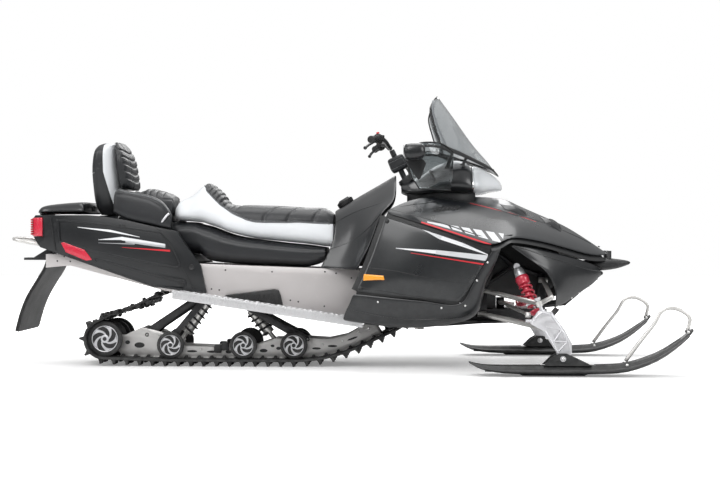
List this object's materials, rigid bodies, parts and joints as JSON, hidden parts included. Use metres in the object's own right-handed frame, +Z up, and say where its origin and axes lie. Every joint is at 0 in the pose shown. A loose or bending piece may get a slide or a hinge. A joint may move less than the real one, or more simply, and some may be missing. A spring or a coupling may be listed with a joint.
{
  "type": "snowmobile",
  "caption": "Two-seat touring snowmobile with tilting hood, windshield, steered skis, rubber track, backrest and a trunk.",
  "frame": {"origin": "on the ground, under the middle of the overall length and on the centre plane", "axes": "+X forward, +Y to the rider's left, +Z up"},
  "size_m": [3.2932, 1.2322, 1.346],
  "materials": {
    "black_plastic": "satin moulded body panels",
    "dark_plastic": "textured dark plastic",
    "aluminium": "bare sheet, castings and tubes",
    "black_metal": "black powder coat",
    "red_metal": "red springs",
    "white_vinyl": "white vinyl with a black top",
    "black_vinyl": "black vinyl",
    "rubber": "moulded rubber",
    "smoke_plastic": "smoked clear plastic",
    "clear_lens": "clear lamp lens",
    "red_lens": "red lamp lens"
  },
  "bodies": {
    "chassis": {"tunnel": "aluminium", "running_boards": "aluminium", "front_frame": "black_metal", "engine": "dark_plastic", "belly_pans": "black_plastic", "nose_fairings": "black_plastic", "front_bumper": "black_plastic", "console": "black_plastic", "fuel_cap": "dark_plastic", "seat_base": "dark_plastic", "rider_seat": "white_vinyl", "passenger_seat": "black_vinyl", "armrests": "black_vinyl", "backrest_shell": "white_vinyl", "backrest_pad": "black_vinyl", "tail_body": "black_plastic", "tail_lights": "red_lens", "rear_bumper": "aluminium", "hitch": "black_metal", "snow_flap": "rubber", "track": "rubber", "rails": "aluminium", "rear_idler_wheels": "rubber", "bogie_wheels": "rubber", "drive_axle": "dark_plastic", "torque_arms": "black_metal", "skid_shocks": "aluminium", "upper_arms": "aluminium", "lower_arms": "aluminium", "ski_shocks": "red_metal"},
    "hood": {"hood": "black_plastic", "windshield": "smoke_plastic", "headlight_pod": "black_plastic", "headlight": "clear_lens", "wind_deflectors": "smoke_plastic", "mirrors": "dark_plastic"},
    "panel_right": {"side_panel_right": "black_plastic"},
    "panel_left": {"side_panel_left": "black_plastic"},
    "trunk_lid": {"trunk_lid": "black_plastic"},
    "steering": {"handlebar": "black_metal", "hand_controls": "rubber", "steering_column": "black_metal"},
    "linkage": {"steering_linkage": "aluminium"},
    "knuckle_right": {"spindle_right": "aluminium"},
    "knuckle_left": {"spindle_left": "aluminium"},
    "ski_right": {"ski_right": "black_plastic", "ski_loop_right": "aluminium"},
    "ski_left": {"ski_left": "black_plastic", "ski_loop_left": "aluminium"}
  },
  "joints": [
    {"name": "steering_turn", "type": "hinge", "parent": "chassis", "child": "steering", "pos_m": [0.29, 0, 1], "axis": [-0.42, 0, 0.9075], "range_deg": [-35, 35]},
    {"name": "link_slide", "type": "slide", "parent": "chassis", "child": "linkage", "axis": [0, 1, 0], "range_m": [-0.042, 0.042]},
    {"name": "spindle_right_turn", "type": "hinge", "parent": "chassis", "child": "knuckle_right", "pos_m": [0.985, -0.5, 0.23], "axis": [-0.3511, 0, 0.9363], "range_deg": [-28.1, 28.1]},
    {"name": "spindle_left_turn", "type": "hinge", "parent": "chassis", "child": "knuckle_left", "pos_m": [0.985, 0.5, 0.23], "axis": [-0.3511, 0, 0.9363], "range_deg": [-28.1, 28.1]},
    {"name": "ski_right_pitch", "type": "hinge", "parent": "knuckle_right", "child": "ski_right", "pos_m": [1.048, -0.54, 0.082], "axis": [0, 1, 0], "range_deg": [-20, 12]},
    {"name": "ski_left_pitch", "type": "hinge", "parent": "knuckle_left", "child": "ski_left", "pos_m": [1.048, 0.54, 0.082], "axis": [0, 1, 0], "range_deg": [-20, 12]},
    {"name": "hood_tilt", "type": "hinge", "parent": "chassis", "child": "hood", "pos_m": [1.336, 0, 0.562], "axis": [0, 1, 0], "range_deg": [0, 60]},
    {"name": "panel_right_swing", "type": "hinge", "parent": "chassis", "child": "panel_right", "pos_m": [0.5855, -0.4415, 0.3369], "axis": [0.5087, 0, 0.8609], "range_deg": [0, 60]},
    {"name": "panel_left_swing", "type": "hinge", "parent": "chassis", "child": "panel_left", "pos_m": [0.5855, 0.4415, 0.3369], "axis": [-0.5087, 0, -0.8609], "range_deg": [0, 60]},
    {"name": "trunk_lid_lift", "type": "hinge", "parent": "chassis", "child": "trunk_lid", "pos_m": [-1.4995, 0, 0.7528], "axis": [0, -1, 0], "range_deg": [0, 80]}
  ],
  "couplings": [
    {"joint": "link_slide", "follows": "steering_turn", "m_per_rad": -0.0684},
    {"joint": "spindle_right_turn", "follows": "steering_turn", "ratio": 0.8},
    {"joint": "spindle_left_turn", "follows": "steering_turn", "ratio": 0.8}
  ]
}
